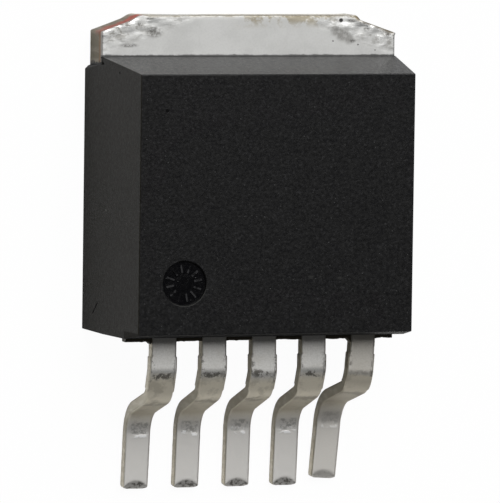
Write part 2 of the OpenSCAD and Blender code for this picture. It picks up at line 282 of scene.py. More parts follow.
def moulding_finish():
    """Black epoxy: fine mineral grain, pale specks, pits and the marks of handling, with painted shade,
    sheen and highlights in places.
    """
    finish = Finish("black_moulding", 0.0, 0.4)
    x, y, z = finish.x, finish.y, finish.z
    grain = finish.grain(9.0, detail=6.0, roughness=0.7)
    mottle = finish.grain(1.3)
    colour = blend(spread(grain, 0.38, 0.66), srgb(17, 17, 18), srgb(26, 26, 26))
    colour = blend(spread(mottle, 0.45, 0.8, 0.0, 0.35), colour, srgb(30, 30, 30))
    fewer_by_the_tab = spread(y, 5.0, -2.5, 0.56, 0.44)
    specks = spread(finish.cells(5.0), 0.14, 0.07) * (finish.grain(1.7) > fewer_by_the_tab)
    colour = blend(specks * 0.5, colour, srgb(56, 56, 56))
    dust = spread(finish.cells(13.0), 0.12, 0.06) * spread(
        finish.grain(2.6, shift=(4.3, 1.2, 0.7)), 0.5, 0.6)
    colour = blend(dust * 0.4, colour, srgb(50, 50, 51))
    salt = spread(finish.grain(13.0, roughness=0.65), 0.54, 0.68)
    colour = blend(salt * 0.55, colour, srgb(47, 47, 48))
    # The left side face is tinted olive as a painted reflection, the cast it takes from its surroundings
    left_face = spread(x - z * SIDE_SLOPE, 0.03 - BASE_HALF, 0.01 - BASE_HALF)
    colour = blend(left_face * 0.8, colour, srgb(26, 23, 12))
    # Painted shade: a near-black line at the foot of the tab-end face, where the gap over the tab lies in
    # shade
    joint_shade = spread(z, TAB_T + 0.1, TAB_T + 0.05) * spread(y, TAB_FACE_Y - 0.12, TAB_FACE_Y - 0.06)
    colour = blend(joint_shade, colour, srgb(6, 6, 6))
    lead_face = (spread(y, LEAD_FACE_Y + 0.3, LEAD_FACE_Y + 0.24) * spread(z, BODY_H, BODY_H - 0.05)
                 * spread(z, LEAD_TOP_Z + 0.02, LEAD_TOP_Z + 0.1))
    # The flash in front of the lead face is painted a lighter olive, as painted light on a top that lies in
    # the moulding's shadow
    flash = spread(y, LEAD_FACE_Y, LEAD_FACE_Y - 0.02)
    colour = blend(flash, colour, srgb(74, 70, 60))
    # A painted sheen to the right on the lead-side end face, where that face is seen at a grazing angle
    painted_sheen = lead_face * spread(x, 3.2, 5.0) * spread(mottle, 0.3, 0.6, 0.5, 0.9)
    colour = blend(painted_sheen, colour, srgb(112, 112, 110))

    # Marks of handling: a scratch and a speck on the left side, dots and smudges on the marked face
    off_scratch = (z - SCRATCH_AT[2]) - (y - SCRATCH_AT[1])
    scratch = finish.spot(SCRATCH_AT, 0.24, 0.4, squash=(1, 1, 0.3)) * spread(abs(off_scratch), 0.05, 0.03)
    dots = highest(finish.spot(SIDE_DOT_AT, 0.05), finish.spot(TOP_DOT_AT, 0.065))
    colour = blend(highest(scratch, dots), colour, srgb(9, 9, 9))
    smudges = (finish.spot((across, along, BODY_H), radius, 0.9, squash=(1, 2, 1)) * 0.12
               for across, along, radius in SMUDGES)
    colour = blend(highest(finish.spot(SIDE_SPECK_AT, 0.045), *smudges), colour, srgb(96, 96, 92))

    # The sunk floor of the round mark is glossy and painted darker as shade in the recess, and its lower
    # right rim has a painted highlight
    sunk_shade_and_gloss = finish.spot(MARK_CENTRE, MARK_R - 0.03, 0.04) * spread(z, BODY_H - 0.02, BODY_H - 0.05)
    colour = blend(sunk_shade_and_gloss, colour, srgb(12, 12, 14))
    floor_z = MARK_CENTRE[2]
    tick = (finish.spot(MARK_CENTRE, MARK_R - 0.08, 0.04) * spread(z, floor_z + 0.016, floor_z + 0.02)
            * spread(finish.grain(5.0, detail=5.0), 0.42, 0.58, 0.1, 1.0)
            * (1.0 - finish.spot(MARK_CENTRE, 0.34, 0.04)))
    centre_reach = MARK_CENTRE[0] * 0.4 - MARK_CENTRE[1]
    lower_right = spread(x * 0.4 - y, centre_reach + 0.25, centre_reach + 0.6)
    # Painted highlight: a thin pale line along the lower right rim of the mark
    rim_highlight = (finish.spot(MARK_CENTRE, MARK_R + 0.016, 0.012)
                * (1.0 - finish.spot(MARK_CENTRE, MARK_R - 0.004, 0.012))
                * lower_right * spread(z, BODY_H - 0.06, BODY_H - 0.03))
    colour = blend(rim_highlight * 0.6, colour, srgb(72, 72, 70))
    # The ticks are painted lighter than the floor, as a painted highlight where they catch the light
    colour = blend(tick, colour, srgb(48, 48, 49))
    finish.set("Base Color", colour)
    finish.set("Specular IOR Level", 0.2)
    rough = spread(grain, 0.3, 0.7, 0.34, 0.46) + highest(
        joint_shade * 0.5, left_face * 0.14, lead_face * 0.35, scratch, dots)
    finish.set("Roughness", rough - sunk_shade_and_gloss * 0.16)
    relief = grain + highest(specks, dust) * 0.6
    finish.bump(relief - highest(scratch, dots) * 3.0, 0.016, 0.5)
    return finish.material


def tab_finish():
    """Matt tin over copper: bare copper at one cut corner, tarnish on the other sheared sides, painted
    highlights and dark reflections in the dents.
    """
    finish = Finish("tinned_tab", 1.0, 0.6)
    x, y, z = finish.x, finish.y, finish.z
    cloud = finish.grain(1.1, detail=5.0, roughness=0.6)
    grain = finish.grain(16.0, detail=4.0, roughness=0.6)
    colour = blend(spread(cloud, 0.35, 0.65), srgb(192, 192, 190), srgb(200, 200, 198))
    colour = blend(spread(grain, 0.55, 0.75, 0.0, 0.25), colour, srgb(186, 186, 182))

    # Shallow dents by the cut corners, where the punch held the strip, with painted highlights on their
    # wrinkles and painted dark reflections in patches
    in_dent = finish.named("dent_share")
    patches = finish.grain(2.6, roughness=0.6, stretch=(1, 1.5, 1))
    wrinkles = finish.grain(4.2, roughness=0.55, stretch=(0.8, 2.2, 1), shift=(3.1, 0.4, 0.6))
    dent_highlight = in_dent * spread(wrinkles, 0.5, 0.62) * spread(y, TAB_END_Y - 0.05, TAB_END_Y - 0.14)
    dent_dark_reflection = in_dent * spread(patches, 0.5, 0.62)
    colour = blend(dent_dark_reflection * 0.75, colour, srgb(112, 108, 100))
    colour = blend(dent_highlight, colour, srgb(230, 230, 228))

    # Handling marks: smears by the cut corners, a blotch at the right, dark dots, tan stains at the end
    smear_grain = spread(finish.grain(11.0, detail=5.0, roughness=0.7), 0.4, 0.56)
    smears = highest(*(finish.spot((across, along, TAB_T), radius, blur, squash=(1, flat, 1))
                       for across, along, radius, blur, flat in TAB_SMEARS))
    smears = smears * (smear_grain * 0.7 + 0.3)
    blotch = highest(*(finish.spot((across, along, TAB_T), radius, blur)
                       for across, along, radius, blur in TAB_BLOTCHES))
    blotch = blotch * spread(finish.grain(9.0), 0.3, 0.6, 0.6, 1.0)
    dots = highest(*(finish.spot((across, along, TAB_T), radius) for across, along, radius in TAB_DOTS))
    stain_grain = finish.grain(2.2, detail=5.0, roughness=0.65)
    stain = (spread(y, 7.34, 7.7) * spread(x, -0.9, 0.2) * spread(x, 3.1, 2.5)
             * spread(stain_grain, 0.43, 0.54))
    right_cut = spread(x, 3.6, 3.8)
    rim_grain = spread(finish.grain(3.4, detail=4.0), 0.4, 0.56, 0.1, 1.0)
    rim = finish.named("rim") * highest(right_cut, rim_grain)
    colour = blend(blotch * 0.75, colour, srgb(124, 122, 118))
    colour = blend(smears * 0.78, colour, srgb(88, 86, 82))
    colour = blend(stain * 0.8, colour, srgb(150, 141, 120))
    colour = blend(rim, colour, blend(right_cut, srgb(140, 131, 112), srgb(92, 82, 64)))
    colour = blend(dots, colour, srgb(40, 38, 36))

    # Sheared sides: tan tarnish, a copper line under the top edge, red copper on the left cut corner
    sheared = finish.named("sheared")
    tarnish = blend(spread(finish.grain(5.0, stretch=(1, 1, 0.2)), 0.4, 0.7),
                    srgb(120, 114, 100), srgb(142, 136, 124))
    copper = blend(spread(finish.grain(7.0), 0.4, 0.65), srgb(180, 92, 77), srgb(150, 80, 69))
    edge_wobble = (finish.grain(1.6) - 0.5) * 0.4
    depth = TAB_T - z + edge_wobble
    left_corner = spread(x + edge_wobble, -3.5, -3.85) * spread(y, 7.1, 7.32)
    faded = spread(finish.grain(2.0, detail=4.0), 0.36, 0.56, 0.35, 1.0)
    frayed = depth + (finish.grain(3.6, detail=4.0, stretch=(1, 1, 0.5)) - 0.5) * 1.3
    copper_band = spread(frayed, 0.9, 0.45) * left_corner * faded
    side = blend(spread(depth, 0.3, 0.2) * 0.6, tarnish, srgb(142, 112, 88))
    end_face = (spread(y, TAB_END_Y - 0.06, TAB_END_Y - 0.02) * spread(abs(x), 3.85, 3.7)
                * spread(stain_grain, 0.62, 0.4, 0.6, 0.9))
    side = blend(end_face, side, srgb(206, 202, 192))
    side = blend(copper_band, side, copper)
    colour = blend(sheared, colour, side)

    # Black resin that the moulding left at the foot of the sides, and a dark line over the top by its face,
    # painted as resin where the joint's shade falls
    foot = TAB_FACE_Y - TAB_SIDE_STEP
    chips = spread(y - finish.grain(6.0, detail=4.0) * 0.4, foot - 0.04, foot - 0.08) * spread(
        abs(x), TAB_HALF - 0.12, TAB_HALF - 0.06)
    resin_line_shade = spread(y - finish.grain(3.0, detail=5.0, roughness=0.7) * 0.12,
                   TAB_FACE_Y + 0.005, TAB_FACE_Y - 0.04) * (1.0 - sheared)
    above_foot = spread(z, 0.02, 0.2)
    resin_and_line_shade = highest(chips, resin_line_shade * 0.85) * above_foot
    colour = blend(resin_and_line_shade, colour, srgb(26, 26, 26))
    finish.set("Base Color", colour)
    finish.set("Metallic", 1.0 - highest(resin_and_line_shade, dots))
    finish.set("Roughness", spread(grain, 0.3, 0.7, 0.58, 0.66) - dent_highlight * 0.3)
    finish.bump(grain + finish.grain(60.0, detail=2.0) + in_dent * wrinkles * 6.0, 0.004, 0.35)
    return finish.material


def lead_finish():
    """Matt tin on a formed lead: dull where it was bent, scuffed where the tool held it, with painted light
    and shade by stage of forming, lighter painted sides and painted glints on the foot.
    """
    finish = Finish("tinned_lead", 1.0, 0.6)
    stage = finish.named("stage")

    def from_lead_5(others, last):
        return spread(finish.x, 2.35, 2.5, others, last)

    def between(start, full, still_full, end):
        """1 over a stretch of the forming stages, with soft ends."""
        return spread(stage, start, full) * spread(stage, end, still_full)

    grain = finish.grain(18.0, detail=4.0, roughness=0.6)
    blot = finish.grain(2.4, detail=4.0, roughness=0.6)
    colour = blend(spread(grain, 0.35, 0.7), srgb(205, 204, 201), srgb(196, 195, 191))
    colour = blend(spread(blot, 0.5, 0.7, 0.0, 0.35), colour, srgb(186, 183, 176))
    # Tones by stage of forming: the first slope and the foot are painted lighter and the steep part darker,
    # as painted light and shade for how each part faces the lamps, over a warm tan where the tin was bent
    droop = spread(stage, 2.7, 3.6)
    colour = blend(droop * 0.9, colour, srgb(223, 216, 199))
    steep = spread(stage, 4.2, 5.2)
    colour = blend(steep, colour, srgb(188, 181, 165))
    foot = spread(stage, 6.05, 6.95)
    colour = blend(foot, colour, srgb(237, 235, 231))
    bent = droop * (1.0 - foot) * spread(blot, 0.5, 0.66)
    colour = blend(bent * 0.35, colour, srgb(150, 144, 130))
    last_lead = from_lead_5(0.0, 1.0) * 0.5 * spread(stage, 3.2, 2.6, 0.6, 1.0)
    colour = blend(last_lead, colour, srgb(168, 162, 150))

    # Scuffs where the forming tool held the lead, and painted shade along the crease of the second bend
    share = finish.named("across_share")
    tool_wander = (finish.grain(1.4) - 0.5) * 0.36
    tool_edge = spread(abs(LEAD_FACE_Y - 1.22 - finish.y + tool_wander), 0.19, 0.04)
    strokes = finish.grain(3.2, detail=7.0, roughness=0.78)
    first_scuff = (tool_edge * spread(strokes + tool_edge * 0.07, 0.535, 0.61)
                   * spread(abs(share - 0.08), 0.95, 0.55))
    inner = spread(abs(share + 0.05), 0.75, 0.6)
    second_scuff = between(6.55, 6.65, 6.98, 7.02) * inner * spread(
        finish.grain(7.0, detail=5.0, roughness=0.7), 0.42, 0.6)
    edge_scuff = spread(abs(share), 0.6, 0.85) * between(1.35, 1.5, 3.3, 3.6) * spread(
        finish.grain(5.0, detail=5.0, roughness=0.7, shift=(0.3, 0.7, 3.1)), 0.52, 0.6)
    # Painted shade along the crease of the second bend
    wavy = stage + (finish.grain(2.5) - 0.5) * 0.9
    crease_shade = (spread(wavy, 4.6, 4.9) * spread(wavy, 5.25, 4.98)
              * spread(finish.grain(3.0, detail=5.0), 0.36, 0.5))
    left_line = spread(abs(share + 0.8), 0.05, 0.02) * between(1.4, 1.6, 3.3, 3.6) * spread(
        finish.grain(3.0, shift=(0.3, 5.3, 0.6)), 0.42, 0.5)
    # Darker over the toe's rolled arch
    toe_arch_dark = (spread(finish.named("toe_arch_dark"), 0.0, 0.3)
                * spread(finish.grain(9.0, detail=4.0), 0.46, 0.62, 0.42, 0.9) * from_lead_5(1.0, 0.3))
    held = highest(first_scuff * from_lead_5(0.85, 0.3), second_scuff * from_lead_5(0.42, 0.2))
    dark = highest(held, crease_shade * 0.42, edge_scuff * 0.7, left_line * 0.5,
                   finish.named("bar_step") * 0.7, toe_arch_dark)
    colour = blend(dark, colour, srgb(92, 89, 83))
    # Painted highlights: a white line and white specks where the tool pressed the foot
    glint_highlight = between(6.99, 7.03, 7.05, 7.09) * inner * spread(
        finish.grain(6.5, detail=5.0, shift=(7.3, 0.4, 0.8)), 0.48, 0.58)
    glints = between(6.75, 6.85, 7.0, 7.04) * inner * spread(
        finish.grain(9.0, detail=4.0, shift=(0.3, 2.3, 0.4)), 0.58, 0.66)
    glint_highlight = highest(glint_highlight, glints * 0.8) * from_lead_5(1.0, 0.5)
    colour = blend(glint_highlight, colour, srgb(255, 255, 255))

    # The sheared sides' tan is painted lighter, to stand in for the light that the neighbouring leads keep
    # off them
    side = blend(spread(finish.grain(6.0, stretch=(1, 1, 0.3)), 0.4, 0.7),
                 srgb(212, 206, 190), srgb(226, 221, 208))
    finish.set("Base Color", blend(finish.named("sheared"), colour, side))
    finish.set("Roughness", spread(grain, 0.3, 0.7, 0.56, 0.64) + glint_highlight * 0.15)
    finish.bump(grain * 0.6 - dark * 2.0 + glint_highlight * 3.0, 0.006, 0.35)
    return finish.material


def silicon_finish():
    """A dark polished die with its square metal pads."""
    finish = Finish("silicon", 0.6, 0.22)
    weave = node(finish.tree, "ShaderNodeTexBrick", {
        "Vector": finish.place, "Scale": 2.4, "Mortar Size": 0.05, "Color1": srgb(92, 96, 112),
        "Color2": srgb(78, 84, 104), "Mortar": srgb(150, 150, 146)})
    finish.set("Base Color", weave)
    finish.bump(Amount(finish.tree, weave.outputs["Fac"]), 0.004, 0.6)
    return finish.material


def metal_finish(name, light, dark, roughness):
    """A plain metal with a fine grain, for what the moulding hides."""
    finish = Finish(name, 1.0, roughness)
    grain = finish.grain(25.0, detail=4.0)
    finish.set("Base Color", blend(spread(grain, 0.35, 0.65), light, dark))
    finish.bump(grain, 0.004, 0.4)
    return finish.material


# The moulding
def moulding_outline():
    """The moulding's length section, from the lead side at the base round to the parting line."""
    lead_end_top = (BODY_H - LEAD_TOP_Z) * math.tan(LEAD_END_DRAFT)
    tab_end_top = (BODY_H - TAB_T) * math.tan(TAB_END_DRAFT)
    return [
        (LEAD_FACE_Y + LEAD_END_CUTBACK, 0.0),
        (TAB_FACE_Y - TAB_SIDE_STEP, 0.0),
        (TAB_FACE_Y - TAB_SIDE_STEP + TAB_SIDE_LEAN, TAB_T),
        (TAB_FACE_Y, TAB_T),
        (TAB_FACE_Y - tab_end_top, BODY_H),
        (LEAD_FACE_Y + lead_end_top, BODY_H),
        (LEAD_FACE_Y, LEAD_TOP_Z),
        (LEAD_FACE_Y, LEAD_END_CUTBACK_H),
    ]


def moulding_shell():
    """The outside of the moulding, with softened edges and the small cuts at the base corners."""
    outline = moulding_outline()
    bm = bmesh.new()
    sides = {}
    for side in (-1, 1):
        ring = [bm.verts.new((side * half_width(z), y, z)) for y, z in outline]
        cut = bm.verts.new((side * (BASE_HALF - BASE_CORNER), outline[1][0], 0.0))
        ring[1].co.y -= BASE_CORNER
        sides[side] = ring, cut
    (left, left_cut), (right, right_cut) = sides[-1], sides[1]
    bm.faces.new((left[0], right[0], right[1], right_cut, left_cut, left[1]))
    bm.faces.new((left_cut, right_cut, right[2], left[2]))
    for i in range(2, len(outline)):
        j = (i + 1) % len(outline)
        bm.faces.new((left[i], right[i], right[j], left[j]))
    for ring, cut in sides.values():
        bm.faces.new(ring)
        bm.faces.new((ring[1], cut, ring[2]))
    bmesh.ops.recalc_face_normals(bm, faces=bm.faces)
    soft = [edge for edge in bm.edges
            if edge.calc_face_angle_signed(0) > SOFT_FROM_ANGLE and edge.calc_length() > SOFT_FROM_LENGTH]
    bmesh.ops.bevel(bm, geom=soft, offset=EDGE_SOFTNESS, segments=3, profile=0.5, affect="EDGES",
                    clamp_overlap=True)
    return bm


def skin(bm, rings):
    """Faces between neighbouring rings of corners; a ring of one corner is a point on the axis."""
    for near, far in zip(rings, rings[1:]):
        around = max(len(near), len(far))
        for k in range(around):
            m = (k + 1) % around
            corners = (near[k % len(near)], near[m % len(near)], far[m % len(far)], far[k % len(far)])
            bm.faces.new(dict.fromkeys(corners))


def lathe(profile, centre, steps=96):
    """A closed turned shape: profile points are (radius, height), the first and last on the axis."""
    bm = bmesh.new()
    rings = []
    for radius, height in profile:
        turns = (2 * math.pi * k / steps for k in range(steps if radius else 1))
        rings.append([bm.verts.new((centre[0] + radius * math.cos(a), centre[1] + radius * math.sin(a),
                                    height)) for a in turns])
    skin(bm, rings)
    bmesh.ops.recalc_face_normals(bm, faces=bm.faces)
    return bm


def mark_cutter():
    """What the round mark takes out of the marked face: sloped wall, flat floor, small raised disc."""
    floor = MARK_CENTRE[2]
    disc_top = floor + 0.004
    above = BODY_H + 0.3
    profile = [(0, disc_top), (0.2, disc_top), (0.3, floor), (MARK_R - 0.04, floor),
               (MARK_R - 0.034, floor + 0.01), (MARK_R - 0.026, BODY_H - 0.03), (MARK_R, BODY_H),
               (MARK_R + 0.02, above), (0, above)]
    return lathe(profile, MARK_CENTRE)


# Geometry trees: how one is begun, closed and used
def begin_tree(name, sizes, others, output):
    """A geometry tree with sizes in millimetres and other inputs (kind, value), and what each gives."""
    tree = bpy.data.node_groups.new(name, "GeometryNodeTree")
    inputs = {label: ("Float", value * MM) for label, value in sizes.items()}
    for label, (kind, value) in {**others, **inputs}.items():
        socket = tree.interface.new_socket(label, in_out="INPUT", socket_type="NodeSocket" + kind)
        if value is not None:
            socket.default_value = value
    tree.interface.new_socket(output, in_out="OUTPUT", socket_type="NodeSocketGeometry")
    given = {socket.name: Amount(tree, socket) for socket in node(tree, "NodeGroupInput").outputs}
    return tree, given


def close_tree(tree, geometry, material):
    real = node(tree, "GeometryNodeRealizeInstances", {0: geometry})
    clad = node(tree, "GeometryNodeSetMaterial", {0: real, "Material": material})
    node(tree, "NodeGroupOutput", {0: clad})


def grow(piece, tree, values):
    """Turns a piece into what a geometry tree makes of it, with values for the tree's named inputs."""
    step = piece.modifiers.new("grow", "NODES")
    step.node_group = tree
    for item in tree.interface.items_tree:
        if item.in_out == "INPUT" and item.name in values:
            step[item.identifier] = values[item.name]
    settle(piece)
    return piece


def settle(piece):
    """Turns a piece's modifiers into its plain mesh."""
    graph = bpy.context.evaluated_depsgraph_get()
    mesh = bpy.data.meshes.new_from_object(piece.evaluated_get(graph), depsgraph=graph)
    piece.modifiers.clear()
    piece.data = mesh


def ring_of_ticks(material):
    """Twelve plain radial ticks that stand on the sunk floor round the mark's middle."""
    sizes = {"Ring Radius": 0.475, "Tick Length": 0.26, "Tick Width": 0.06, "Tick Height": 0.06}
    others = {"Centre": ("Vector", None), "Ticks": ("Int", 12)}
    tree, given = begin_tree("ring_of_ticks", sizes, others, "Ring")
    circle = node(tree, "GeometryNodeMeshCircle",
                  {"Vertices": given["Ticks"], "Radius": given["Ring Radius"]})
    size = node(tree, "ShaderNodeCombineXYZ",
                {0: given["Tick Length"], 1: given["Tick Width"], 2: given["Tick Height"]})
    tick = node(tree, "GeometryNodeMeshCube", {"Size": size})
    outward = node(tree, "FunctionNodeAlignRotationToVector",
                   {"Vector": node(tree, "GeometryNodeInputPosition")}, axis="X", pivot_axis="Z")
    ticks = node(tree, "GeometryNodeInstanceOnPoints",
                 {"Points": circle, "Instance": tick, "Rotation": outward})
    placed = node(tree, "GeometryNodeTransform", {
        "Geometry": ticks, "Translation": given["Centre"], "Rotation": (0.0, 0.0, TICK_TURN)})
    close_tree(tree, placed, material)
    ring = mesh_object("mark_ticks", bmesh.new())
    return grow(ring, tree, {"Centre": [v * MM for v in MARK_CENTRE]})


def flash_bar():
    """Thin resin flash along the parting line, with a ragged front edge and webs by the outer leads."""
    left = -(half_width(LEAD_TOP_Z) - FLASH_LEFT_GAP)
    right = 2 * LEAD_PITCH + LEAD_W / 2 + FLASH_RIGHT_MORE
    back, top, under = LEAD_FACE_Y + 0.2, LEAD_TOP_Z, LEAD_TOP_Z - LEAD_T
    steps = 160
    bm = bmesh.new()
    rows = []
    for k in range(steps + 1):
        x = left + (right - left) * k / steps
        ragged = noise.noise(Vector((x * 2.3, 4.0, 0))) * 0.35 + noise.noise(Vector((x * 9, 0, 0))) * 0.25
        out = FLASH_OUT * min(1.1, 0.98 + ragged * 0.7)
        for number in (1, 5):
            gap = (number - 3) * LEAD_PITCH - LEAD_W / 2 - x
            if 0 <= gap < FLASH_WEB:
                out = max(out, FLASH_OUT + FLASH_WEB - gap)
        front = LEAD_FACE_Y - out
        corners = ((front + 0.02, top - 0.01), (front, top - 0.04), (front, under + 0.04),
                   (front + 0.02, under + 0.01), (back, under + 0.01), (back, top - 0.01))
        rows.append([bm.verts.new((x, y, z)) for y, z in corners])
    skin(bm, rows)
    bm.faces.new(rows[0])
    bm.faces.new(rows[-1])
    bmesh.ops.recalc_face_normals(bm, faces=bm.faces)
    return bm


def pocket_tool(name):
    """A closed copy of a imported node, to cut its pocket with; its solder face stands below the base."""
    bm = bmesh.new()
    bm.from_mesh(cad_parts[name].data)
    bmesh.ops.remove_doubles(bm, verts=bm.verts, dist=SAME_POINT_M)
    for vert in bm.verts:
        if vert.co.z < AT_BASE_M:
            vert.co.z = POCKET_FLOOR_M
    return mesh_object(name + "_pocket", bm, scale=1)


def cut_or_join(piece, tools, operation):
    """Applies exact booleans to a piece, then throws the tools away."""
    for tool in tools:
        step = piece.modifiers.new("shape", "BOOLEAN")
        step.operation = operation
        step.solver = "EXACT"
        step.object = tool
    settle(piece)
    for tool in tools:
        bpy.data.objects.remove(tool)


# The heat tab
def edge_drop(x, y):
    """How far the tab's top has sunk at a point, how deep it lies in a dent and how near a rim."""
    slope, length = LEFT_CUT if x < 0 else RIGHT_CUT
    to_side = TAB_HALF - abs(x)
    to_corner = (to_side * slope + (TAB_END_Y - y) - length) / math.hypot(1, slope)
    to_edge = min(TAB_END_Y - y, to_side, to_corner)
    dent = max(0.0, 1 - to_corner / DENT_REACH) ** 0.7
    rolled = (0.008 + 0.01 * min(1, dent)) * math.exp(-max(to_edge, 0) / 0.05)
    rough = noise.noise(Vector((x * 2.1, y * 3.1, 1.7))) + 0.6 * noise.noise(Vector((x * 4.6, y * 6.0, 5.0)))
    at_rim = 0.0
    if y > 7 and x > -3.5 and TAB_HALF - x > to_edge + 0.01:
        rim_width = 0.1 if x > TAB_HALF - TAB_CORNER_W else 0.05
        at_rim = max(0.0, 1 - to_edge / rim_width)
    return rolled + dent * (0.012 + 0.023 * rough), dent, at_rim


def burr(x, size, place, width):
    """How far the shear dragged the metal out at x, beside a cut corner."""
    return size * math.exp(-((x - place) / width) ** 2)


def right_half(y):
    """Half width of the tab's right side at a place along it."""
    if y <= RIGHT_CUT_LINE[0][0]:
        return TAB_HALF + burr(y, *RIGHT_SIDE_BURR)
    for (y_a, a), (y_b, b) in zip(RIGHT_CUT_LINE, RIGHT_CUT_LINE[1:]):
        if y <= y_b + SAME_POINT:
            return a + (b - a) * (y - y_a) / (y_b - y_a)


def tab_ring(bm, y, top_half, low_half, marks, exposed):
    """One section across the tab, from its left top edge round to its left foot."""
    ring = []
    near_end = max(0.0, 1 - (TAB_END_Y - y) / 0.15)
    stretch = right_half(y) / top_half if exposed else 1.0

    def widened(x):
        return x * stretch if x > 0 else x

    def point(x, z, sheared=0.0, dent=0.0, at_rim=0.0):
        x = widened(x)
        dragged = burr(x, *LEFT_END_BURR) + burr(x, *RIGHT_END_BURR)
        vert = bm.verts.new((x, y + near_end * dragged, z))
        vert[marks["rim"]] = at_rim
        vert[marks["sheared"]] = sheared
        vert[marks["dent_share"]] = dent
        ring.append(vert)

    # Over the top, with the points closer together towards both edges
    across = 150
    for k in range(across + 1):
        s = 2 * k / across - 1
        x = (top_half - TAB_ROLL) * math.copysign(1 - (1 - abs(s)) ** 1.15, s)
        drop, dent, at_rim = edge_drop(widened(x), y) if exposed else (0.0, 0.0, 0.0)
        point(x, TAB_T - drop, 0.0, dent, at_rim)

    # Down the right side, along under the tab and up the left side
    drop = edge_drop(top_half, y)[0] if exposed else 0.0
    levels = ((TAB_ROLL, 0.45), (TAB_ROLL * 2, 1.0), (SLUG_LIP_T * 0.6, 1.0), (SLUG_LIP_T, 1.0))
    side = []
    for depth, sheared in levels:
        sink = drop * (1 - depth / SLUG_LIP_T)
        rolled_in = 0.015 if depth == TAB_ROLL else 0.0
        side.append((top_half - rolled_in, TAB_T - depth - sink, sheared))
    lip_z = TAB_T - SLUG_LIP_T
    side += [(low_half, z, 1.0) for z in (lip_z - 0.02, lip_z * 0.6, 0.06)]
    side.append((low_half - 0.012, 0.0, 0.5))
    for out, z, sheared in side:
        point(out, z, sheared)
    under = 24
    for k in range(1, under):
        point(low_half * (1 - 2 * k / under), 0.0)
    for out, z, sheared in reversed(side):
        point(-out, z, sheared)
    return ring


def riser_slope():
    """Length of the straight slope by which the middle lead comes down to the tab."""
    drop = LEAD_TOP_Z - TAB_T - 2 * bend_drop(0, RISER_ANGLE, RISER_R)
    return drop / math.sin(math.radians(RISER_ANGLE))


def slug_front_y():
    """Where the tab begins inside the moulding, at the foot of the middle lead's riser."""
    return (LEAD_FACE_Y + RISER_FLAT + 2 * bend_run(0, RISER_ANGLE, RISER_R)
            + riser_slope() * math.cos(math.radians(RISER_ANGLE)) + RISER_REST)


def heat_tab():
    """The tab and the slug inside the moulding, built from sections across it."""
    bm = bmesh.new()
    marks = {name: bm.verts.layers.float.new(name) for name in ("sheared", "dent_share", "rim")}
    slug_half = BASE_HALF - SLUG_COVER
    step_y = TAB_FACE_Y - TAB_SIDE_STEP
    rings = [tab_ring(bm, y, slug_half, slug_half - SLUG_UNDERCUT, marks, False)
             for y in (slug_front_y(), step_y)]
    corner_y = TAB_END_Y - TAB_CORNER_L
    rows = 46
    for k in range(rows + 1):
        y = step_y + (TAB_END_Y - step_y) * k / rows
        cut = max(0.0, y - corner_y) * TAB_CORNER_W / TAB_CORNER_L
        wobble = 0.005 * noise.noise(Vector((y * 2.2, 9.0, 0))) if k else 0.0
        half = TAB_HALF - cut - abs(wobble)
        rings.append(tab_ring(bm, y, half, half, marks, True))
    skin(bm, rings)
    bm.faces.new(rings[0])
    end = [bm.verts.new(vert.co) for vert in rings[-1]]
    for vert in end:
        vert[marks["sheared"]] = 1.0
    bm.faces.new(end)
    bmesh.ops.remove_doubles(bm, verts=bm.verts, dist=SAME_POINT)
    bmesh.ops.recalc_face_normals(bm, faces=bm.faces)
    for face in bm.faces:
        face.smooth = any(vert.co.z > AT_BASE for vert in face.verts)
    return bm


# The formed leads
def sine_cosine(degrees):
    return math.sin(math.radians(degrees)), math.cos(math.radians(degrees))


def bend_run(a, b, radius):
    """How far a bend from slope a to slope b reaches along the board."""
    return radius * abs(math.sin(math.radians(b)) - math.sin(math.radians(a)))


def bend_drop(a, b, radius):
    """How far a bend from slope a to slope b comes down."""
    return radius * abs(math.cos(math.radians(a)) - math.cos(math.radians(b)))


def lead_steps(number):
    """Straight lengths and bends of a lead outside the moulding, ending with its toe on the board."""
    bend = LEAD_BENDS[number]
    flat = LEAD_FLAT + bend.run - HINGE
    a, b, f = DROOP + bend.droop, STEEP + bend.steep, FOOT + bend.foot
    (sin_a, cos_a), (sin_b, cos_b), (sin_f, cos_f) = map(sine_cosine, (a, b, f))
    run = (LEAD_REACH + bend.reach - sin_f * LEAD_T / 2 - HINGE - flat - bend.slope * cos_a
           - bend_run(0, a, FIRST_R) - bend_run(a, b, SECOND_R) - bend_run(b, f, THIRD_R))
    drop = (LEAD_MID_Z - cos_f * LEAD_T / 2 - bend.slope * sin_a
            - bend_drop(0, a, FIRST_R) - bend_drop(a, b, SECOND_R) - bend_drop(b, f, THIRD_R))
    det = sin_b * cos_f - cos_b * sin_f
    steep = (drop * cos_f - run * sin_f) / det
    foot = (run * sin_b - drop * cos_b) / det
    return [(HINGE, 0, 0), (flat, 0, 0), (0, a, FIRST_R), (bend.slope, 0, 0), (0, b - a, SECOND_R),
            (steep, 0, 0), (0, f - b, THIRD_R), (foot, 0, 0)]


def walk(steps, y, z, heading):
    """Points (y, z, stage) along straights and bends; heading is -1 towards the feet, 1 to the tab."""
    slope = 0.0
    points = [(y, z, 0.0)]
    for index, (length, bend, radius) in enumerate(steps):
        if bend:
            pieces = max(2, math.ceil(abs(bend) / BEND_PIECE))
        else:
            pieces = max(1, round(length / STRAIGHT_PIECE))
        start_y, start_z, start_slope = y, z, slope
        for k in range(1, pieces + 1):
            share = k / pieces
            if bend:
                side = math.copysign(1, bend)
                slope = start_slope + bend * share
                (sin_a, cos_a), (sin_b, cos_b) = sine_cosine(start_slope), sine_cosine(slope)
                y = start_y + heading * side * radius * (sin_b - sin_a)
                z = start_z - side * radius * (cos_a - cos_b)
            else:
                sin_a, cos_a = sine_cosine(slope)
                y = start_y + heading * length * share * cos_a
                z = start_z - length * share * sin_a
            points.append((y, z, index + share))
    return points


